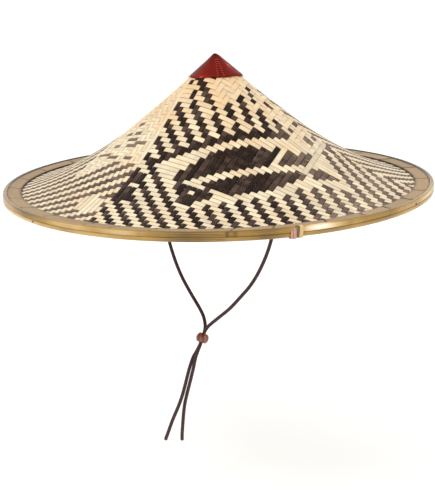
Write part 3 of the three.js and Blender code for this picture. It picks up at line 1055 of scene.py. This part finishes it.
def make_band(shape, finish):
    """The ring of bamboo skin on the brim's edge, in strips that butt at slightly bent slits. Each
    strip is a half-sine arch across, thinner at its inner edge, with painted shade at its ends and edges."""
    outer = RIM_RADIUS - HOOP_THICKNESS - GAP
    radii = np.linspace(outer - BAND_WIDTH, outer, 10)[None]
    share = (radii - radii[0, 0]) / BAND_WIDTH
    crown = crown_height(radii) + GAP
    bend = 1.1 * np.sin(share * 5.0 + 0.4) * (1 - share)
    arch = BAND_WALL * 0.8 + 0.3 * np.sin(np.pi * share) - 0.35 * (share < 0.05)
    across = np.append(closed_outline(share, share), share[0, 0]) * BAND_WIDTH * MM
    half_slit = math.degrees(shape.slit_width / MM / 2 / outer)
    near = np.array([0.0, 0.12, 0.26, 0.5])
    random = np.random.default_rng(3)
    patches = []
    for start, end in zip(BAND_SLITS[:-1], BAND_SLITS[1:]):
        reach = end - start
        turn = np.concatenate([near, np.arange(0.9, reach - 0.9, 0.75), reach - near[::-1]])
        turn = np.clip(turn, half_slit, reach - half_slit)[:, None]
        azimuth = start + turn + bend
        top = crown + arch + 0.18 * np.exp(-turn / 1.2) + random.uniform(-0.05, 0.12)
        heights = closed_outline(np.broadcast_to(crown, top.shape), top)
        azimuths = np.radians(closed_outline(azimuth, azimuth))
        rings = round_about(closed_outline(radii, radii), heights, azimuths)[None]
        # Painted shade: dark at both ends of each strip for the shadow in the slits, and along the outer
        # and inner edges, most on the far side.
        slit_shade = 0.8 * np.exp(-turn / 0.2) + 0.8 * np.exp(-(reach - turn) / 0.16)
        far = rising(np.sin(np.radians(azimuth)), -0.1, 1 / 8)
        tone = 0.4 + random.uniform(-0.08, 0.08) - slit_shade
        tone = tone - (0.1 + 0.2 * far) * bump(share, 1.0, 0.08)
        tone = tone - (0.2 + 0.5 * far) * bump(share, 0.0, 0.12)
        patches.append(swept(rings, across, np.radians(start + turn[:, 0]) * outer * MM,
                             False, None, closed_outline(tone, tone)[None]))
    place(build("bamboo_skin_band", patches, bamboo_skin(finish)), "bamboo_skin", "rim_band")


def stain_and_highlight_bells(turned, stretches):
    """The sum of the bells that a list of stain patches and painted highlights puts round a hoop."""
    return sum(amount * bump(turned, middle, reach) for middle, reach, amount in stretches)


def upper_hoop_section():
    """The upper split culm: flat inside, bulging outside with many points for its grooves."""
    side = np.linspace(-5.2, -0.8, 24)
    bulge = np.stack([RIM_RADIUS - 0.2 - 0.6 * ((side + 3.0) / 2.4) ** 2, side], -1)
    inner = RIM_RADIUS - HOOP_THICKNESS
    start = [(inner, -UPPER_HOOP_HEIGHT), (inner + 2.0, -UPPER_HOOP_HEIGHT),
             (RIM_RADIUS - 1.4, -UPPER_HOOP_HEIGHT)]
    end = [(RIM_RADIUS - 1.1, -0.4), (RIM_RADIUS - 1.7, -0.12), (RIM_RADIUS - 2.5, 0.0),
           (RIM_RADIUS - 3.5, -0.03), (inner + 0.4, -0.2), (inner, -0.7)]
    return np.concatenate([start, bulge, end]) - np.array([0, SEAT_HEIGHT])


def lower_hoop_section():
    """The lower split culm, whose inner part reaches in under the brim. It is pressed up against
    the upper one."""
    top = -UPPER_HOOP_HEIGHT - 0.05
    bottom = top - LOWER_HOOP_HEIGHT
    inner = RIM_RADIUS - LOWER_HOOP_REACH
    step = RIM_RADIUS - HOOP_THICKNESS - GAP
    seat = crown_height(inner) + SEAT_HEIGHT - 2.0 - 2 * GAP
    side = np.linspace(bottom + 0.8, top - 0.6, 20)
    bulge = np.stack([RIM_RADIUS - 0.3 - 0.5 * ((side - bottom - 2.4) / 1.8) ** 2, side], -1)
    start = [(inner, bottom + 0.6), (inner + 0.6, bottom), (RIM_RADIUS - 1.8, bottom)]
    end = [(RIM_RADIUS - 1.2, top), (step, top), (step, seat), (inner, seat)]
    return np.concatenate([start, bulge, end]) - np.array([0, SEAT_HEIGHT])


def make_hoops(finish):
    """The two hoops. The upper one is cut and butted at the front beside a joint of the culm, both
    waver a little as split culms do, and fine grooves run along them at the front left."""

    def split(radius, height, azimuth, levels, waves, stretches):
        turned = wrapped(azimuth)
        drift = sum(size * np.sin(np.radians(count * azimuth) + start)
                    for size, count, start in waves)
        here = GROOVE_FAINT + (1 - GROOVE_FAINT) * rising(turned, -99.5, 0.6)
        here = here * (1 - rising(turned, HOOP_BUTT - 1.0, 0.3))
        here = here + GROOVE_FAINT * (turned > HOOP_BUTT)
        cuts = sum(bump(height, level - SEAT_HEIGHT, 0.22) for level in levels)
        cuts = cuts * here * (radius > HOOP_SIDE)
        # Painted shade in the grooves, with the stain patches and, on the upper hoop, painted highlights.
        tone = 0.42 + stain_and_highlight_bells(turned, stretches) - 0.5 * cuts
        return radius - 0.1 + drift - 0.3 * cuts, drift, tone

    def upper(radius, height, azimuth):
        reach, drift, tone = split(radius, height, azimuth, (-2.2, -3.9), UPPER_WAVES, UPPER_STAINS_AND_HIGHLIGHTS)
        turned = wrapped(azimuth)
        far = rising(np.sin(np.radians(azimuth)), 0.02, 1 / 28)
        on_top = (height > -0.9 - SEAT_HEIGHT) & (radius > RIM_RADIUS - HOOP_THICKNESS - 0.5)
        joint = bump(turned, HOOP_BUTT + 1.0, 0.3) + 0.7 * bump(turned, HOOP_BUTT - 0.7, 0.25)
        joint = joint * (radius > HOOP_SIDE)
        # Painted shade on the top face, most on the far side, and the butt joint darker; a painted
        # highlight runs along the top of the outside on the near side.
        tone = tone - (0.2 + 0.4 * far) * on_top - 0.4 * joint
        tone = tone + 0.1 * bump(height, -0.4 - SEAT_HEIGHT, 0.5) * (1 - far)
        return reach + 0.22 * joint, height + 0.3 * drift, tone

    def lower(radius, height, azimuth):
        reach, drift, tone = split(radius, height, azimuth, (-7.6, -9.2), LOWER_WAVES, LOWER_STAINS)
        # Painted shade along the top of the lower hoop, under the upper one.
        return reach, height + 0.2 * drift, tone - 0.12 * bump(height, -6.2 - SEAT_HEIGHT, 0.5)

    culm = split_culm("waxed_olive_culm", finish.culm, 0.26)
    straw = split_culm("waxed_straw_culm", finish.straw, 0.3)
    start = 360.0 + HOOP_BUTT
    patch = hoop_sweep(upper_hoop_section(), start + 0.05, start + 359.95, 0.62, upper)
    place(build("upper_culm_hoop", [patch], culm), "split_bamboo", "upper_hoop")
    patch = hoop_sweep(lower_hoop_section(), 90.0, 450.0, 0.75, lower)
    place(build("lower_culm_hoop", [patch], straw), "split_bamboo", "lower_hoop")
    brads = [brad(*spot) for spot in BRADS]
    place(build("rim_brads", brads, blackened_iron(), True), "split_bamboo")


def brad(azimuth, height):
    """A small round nail head on the hoop: a low dome, its profile a quarter ellipse."""
    t = np.radians(np.linspace(0, 90, 6))
    dome = np.stack([0.95 * np.cos(t), 0.35 * np.sin(t)], -1)
    section = np.concatenate([dome, [[0.0, -0.8], [0.95, -0.8]]])
    out = np.array([math.cos(math.radians(azimuth)), math.sin(math.radians(azimuth)), 0.0])
    centre = (out * (RIM_RADIUS - 0.1) + [0.0, 0.0, height - SEAT_HEIGHT]) * MM
    return turned_about(section, centre, out, np.array([-out[1], out[0], 0.0]), 30.0)


def wound_turn(offset, width, thickness, slant, top):
    """One flat turn of cane round the hoops up to a top height: a rounded strip carried round the
    rim's section and leaning sideways as it goes down."""
    bottom = -UPPER_HOOP_HEIGHT - LOWER_HOOP_HEIGHT - GAP * 2
    inner = RIM_RADIUS - HOOP_THICKNESS + 0.2
    outer = RIM_RADIUS + 0.2
    path = rounded([(outer - 0.8, top), (outer, top - 0.8), (outer, bottom + 0.8),
                    (outer - 0.8, bottom), (inner, bottom), (inner, top)], 1.2, 5)
    tangent = unit(np.roll(path, -1, axis=0) - np.roll(path, 1, axis=0))
    outward = np.stack([-tangent[:, 1], tangent[:, 0]], -1)
    middle = np.array([(inner + outer) / 2, (top + bottom) / 2])
    outward *= np.sign(np.sum(outward * (path - middle), -1, keepdims=True))
    half = width / 2
    section = rounded([(-half, 0.0), (half, 0.0), (half, thickness), (-half, thickness)], 0.5, 5)
    lean = (path[:, 1:] - middle[1]) * slant
    radius = path[:, :1] + outward[:, :1] * section[None, :, 1]
    height = path[:, 1:] + outward[:, 1:] * section[None, :, 1] - SEAT_HEIGHT
    azimuth = math.radians(BINDING_AZIMUTH) + (offset + lean + section[None, :, 0]) / RIM_RADIUS
    across = np.linspace(0, 2 * width * MM, section.shape[0] + 1)
    along = np.arange(len(path) + 1) * 1.2 * MM
    return swept(round_about(radius, height, azimuth)[None], across, along, True)


def make_binding(finish):
    """Two pale bulging turns of cane low on the hoops, a thin dark turn sunk beside them, and a
    golden one. The last two go round both hoops."""
    turns = [
        ("cane_binding", PALE_TURNS, split_cane(finish)),
        ("tarred_turn", [DARK_TURN], smoked_splint(finish)),
        ("golden_turn", [GOLDEN_TURN], split_culm("waxed_golden_cane", finish.straw, 0.3)),
    ]
    for name, sizes, material in turns:
        patches = [wound_turn(*size) for size in sizes]
        place(build(name, patches, material, True), "pale_cane", "hoop_binding")


def make_head_ring(finish):
    """The plain hidden ring of split bamboo on the head, with slightly rounded edges."""
    outer = HEAD_RING_RADIUS + HEAD_RING_WALL
    top = crown_height(outer) - 2.6
    bottom = top - HEAD_RING_HEIGHT
    section = rounded([(HEAD_RING_RADIUS, bottom), (outer, bottom), (outer, top),
                       (HEAD_RING_RADIUS, top)], 0.8)
    patch = hoop_sweep(section, 90.0, 450.0, 2.0)
    culm = split_culm("planed_bamboo_ring", finish.straw, 0.45)
    place(build("bamboo_head_ring", [patch], culm), "split_bamboo", "head_ring")


def even_steps(curve, step):
    """The same curve with its points a fixed distance apart, and its length."""
    arc = np.concatenate([[0.0], np.cumsum(np.linalg.norm(np.diff(curve, axis=0), axis=1))])
    stops = np.linspace(0, arc[-1], int(round(arc[-1] / step)) + 1)
    return np.stack([np.interp(stops, arc, curve[:, k]) for k in range(3)], -1), arc[-1]


def braided_cord(name, route, material, diameter):
    """A round braid: a tube whose radius swells under two sets of strands that wind opposite ways
    and pass over each other in turn, with a bare cut end. Gives the piece, its path and length."""
    path, reach = even_steps(smooth_line(route, 24, 0.5), CORD_STEP * MM)
    along = unit(np.gradient(path, axis=0))
    side = unit(np.cross(along, [0.0, 1.0, 0.0]))
    other = np.cross(side, along)
    turn = np.linspace(0, 2 * np.pi, CORD_SIDES, endpoint=False)
    distance = np.arange(len(path)) * CORD_STEP
    phase = 2 * np.pi * distance[:, None] / BRAID_LAY
    one = np.cos(BRAID_STRANDS * (turn[None] + phase) / 2) ** 2
    two = np.cos(BRAID_STRANDS * (turn[None] - phase) / 2) ** 2
    radius = diameter / 2 - BRAID_DEPTH * MM * (1 - np.maximum(one, two))
    ends = np.minimum(1.0, 0.72 + 0.28 * np.minimum(distance, distance[::-1]) / 1.2)
    radius = (radius * ends[:, None])[..., None]
    rings = (path[:, None] + side[:, None] * np.cos(turn)[None, :, None] * radius
             + other[:, None] * np.sin(turn)[None, :, None] * radius)
    across = np.linspace(0, np.pi * diameter, CORD_SIDES + 1)
    patch = swept(rings[None], across, distance * MM)
    return build(name, [patch], material), path, reach


def make_bead(shape, finish):
    """The turned bead: a ball with a drilled bore, its mouths slightly rounded."""
    ball, bore = shape.bead_diameter / MM / 2, shape.bead_bore / MM / 2
    mouth = math.acos((bore + 0.35) / ball)
    arc = np.linspace(-mouth, mouth, 33)
    outside = np.stack([ball * np.cos(arc), ball * np.sin(arc)], -1)
    depth = ball * math.sin(mouth)
    inside = [(bore + 0.05, depth - 0.15), (bore, depth - 0.6), (bore, 0.0),
              (bore, 0.6 - depth), (bore + 0.05, 0.15 - depth)]
    axis = unit(np.array(BEAD_AXIS))
    side = unit(np.cross(axis, [0.0, 1.0, 0.0]))
    patch = turned_about(np.concatenate([outside, inside]), np.array(BEAD_CENTRE), axis, side, 6.0)
    place(build("rosewood_bead", [patch], polished_rosewood(finish)), "turned_wood", "bead")


def make_cords(shape, finish):
    """The two braided runs through the bead."""
    material = braided_polyester(finish)
    bead = bpy.data.objects["rosewood_bead"]
    runs = (("near_braided_cord", NEAR_ROUTE, "cord_near", [bead]),
            ("far_braided_cord", FAR_ROUTE, "cord_far", []))
    for name, route, node, carried in runs:
        cord, path, reach = braided_cord(name, route, material, shape.cord_diameter)
        place(cord, "brown_cord", node)


def aimed(name, data, spot, target, roll=0.0):
    """A camera or lamp at a spot, looking at a target and rolled by an angle."""
    forward = unit(np.subtract(target, spot))
    level = unit(np.cross(forward, [0.0, 0.0, 1.0]))
    right = math.cos(roll) * level + math.sin(roll) * np.cross(level, forward)
    matrix = np.eye(4)
    matrix[:3] = np.stack([right, np.cross(right, forward), -forward, spot], -1)
    thing = bpy.data.objects.new(name, data)
    thing.matrix_world = Matrix(matrix.tolist())
    bpy.context.scene.collection.objects.link(thing)
    return thing


def make_camera():
    """The camera at the photo's angle, turned by its small roll."""
    data = bpy.data.cameras.new("photo_camera")
    data.lens = CAMERA_LENS
    data.sensor_width = SENSOR
    data.clip_end = 50.0
    bpy.context.scene.camera = aimed("photo_camera", data, CAMERA_PLACE, CAMERA_TARGET, CAMERA_ROLL)


def make_floor():
    """A sheet of white paper that lies flat and curves up behind as a backdrop."""
    line = smooth_line(FLOOR_PROFILE, 10) + [0.0, FLOOR_HEIGHT]
    points = [np.insert(line, 0, x, axis=1) for x in (-FLOOR_REACH, FLOOR_REACH)]
    left, right = np.arange(2 * len(line)).reshape(2, -1)
    faces = np.stack([left[:-1], right[:-1], right[1:], left[1:]], -1)
    mesh = bpy.data.meshes.new("studio_floor")
    mesh.from_pydata(np.concatenate(points).tolist(), [], faces.tolist())
    mesh.polygons.foreach_set("use_smooth", np.ones(len(faces), bool))
    mesh.materials.append(white_paper())
    floor = bpy.data.objects.new("studio_floor", mesh)
    bpy.context.scene.collection.objects.link(floor)


def make_lights():
    """An even white sky and two soft disk lamps, the brighter one at the front left."""
    world = bpy.data.worlds.new("studio_sky")
    world.use_nodes = True
    sky = world.node_tree.nodes["Background"]
    sky.inputs["Color"].default_value = (1.0, 1.0, 1.0, 1.0)
    sky.inputs["Strength"].default_value = 1.0
    bpy.context.scene.world = world
    for name, spot, size, power in LAMPS:
        data = bpy.data.lights.new(name, "AREA")
        data.shape = "DISK"
        data.size = size
        data.energy = power
        aimed(name, data, spot, LAMP_TARGET)


# The add-on


class HAT_OT_stage(bpy.types.Operator):
    """Set up the camera, the paper floor and the studio light"""
    bl_idname = "hat.stage"
    bl_label = "Studio Stage"

    def execute(self, context):
        make_camera()
        make_floor()
        make_lights()
        context.scene.view_settings.view_transform = "Standard"
        return {"FINISHED"}


class HAT_OT_bead(bpy.types.Operator):
    """Turn the wooden bead"""
    bl_idname = "hat.bead"
    bl_label = "Bead"

    def execute(self, context):
        make_bead(context.scene.hat_shape, context.scene.hat_finish)
        return {"FINISHED"}


class HAT_OT_cords(bpy.types.Operator):
    """Braid the two runs of the chin cord"""
    bl_idname = "hat.cords"
    bl_label = "Chin Cords"

    def execute(self, context):
        make_cords(context.scene.hat_shape, context.scene.hat_finish)
        return {"FINISHED"}


class HAT_OT_plait(bpy.types.Operator):
    """Plait the cone and brim from smoked and natural splints"""
    bl_idname = "hat.plait"
    bl_label = "Plaited Cone"

    def execute(self, context):
        make_splints(context.scene.hat_shape, context.scene.hat_finish)
        return {"FINISHED"}


class HAT_OT_tip_cap(bpy.types.Operator):
    """Sew the leather cap on the tip"""
    bl_idname = "hat.tip_cap"
    bl_label = "Leather Cap"

    def execute(self, context):
        make_cap(context.scene.hat_shape, context.scene.hat_finish)
        return {"FINISHED"}


class HAT_OT_rim_band(bpy.types.Operator):
    """Lay the strips of bamboo skin on the brim's edge"""
    bl_idname = "hat.rim_band"
    bl_label = "Skin Band"

    def execute(self, context):
        make_band(context.scene.hat_shape, context.scene.hat_finish)
        return {"FINISHED"}


class HAT_OT_hoops(bpy.types.Operator):
    """Bend the two hoops and nail them on"""
    bl_idname = "hat.hoops"
    bl_label = "Rim Hoops"

    def execute(self, context):
        make_hoops(context.scene.hat_finish)
        return {"FINISHED"}


class HAT_OT_binding(bpy.types.Operator):
    """Wind the cane binding round the hoops"""
    bl_idname = "hat.binding"
    bl_label = "Cane Binding"

    def execute(self, context):
        make_binding(context.scene.hat_finish)
        return {"FINISHED"}


class HAT_OT_head_ring(bpy.types.Operator):
    """Bend the plain ring that sits on the head"""
    bl_idname = "hat.head_ring"
    bl_label = "Head Ring"

    def execute(self, context):
        make_head_ring(context.scene.hat_finish)
        return {"FINISHED"}


OPERATORS = (HAT_OT_stage, HAT_OT_bead, HAT_OT_cords, HAT_OT_plait, HAT_OT_tip_cap,
             HAT_OT_rim_band, HAT_OT_hoops, HAT_OT_binding, HAT_OT_head_ring)


class HAT_PT_workshop(bpy.types.Panel):
    """The hat's pieces and settings"""
    bl_idname = "HAT_PT_workshop"
    bl_label = "Bamboo Hat"
    bl_space_type = "VIEW_3D"
    bl_region_type = "UI"
    bl_category = "Hat"

    def draw(self, context):
        for operator in OPERATORS:
            self.layout.operator(operator.bl_idname)
        for settings in (context.scene.hat_shape, context.scene.hat_finish):
            for name in settings.__annotations__:
                self.layout.prop(settings, name)


CLASSES = (HatShape, HatFinish) + OPERATORS + (HAT_PT_workshop,)


def register():
    for each in CLASSES:
        bpy.utils.register_class(each)
    bpy.types.Scene.hat_shape = bpy.props.PointerProperty(type=HatShape)
    bpy.types.Scene.hat_finish = bpy.props.PointerProperty(type=HatFinish)


def unregister():
    del bpy.types.Scene.hat_finish
    del bpy.types.Scene.hat_shape
    for each in reversed(CLASSES):
        bpy.utils.unregister_class(each)


def main():
    register()
    bpy.ops.hat.stage()
    bpy.ops.hat.bead()
    bpy.ops.hat.cords()
    bpy.ops.hat.plait()
    bpy.ops.hat.tip_cap()
    bpy.ops.hat.rim_band()
    bpy.ops.hat.hoops()
    bpy.ops.hat.binding()
    bpy.ops.hat.head_ring()
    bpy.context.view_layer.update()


if __name__ == "__main__":
    main()
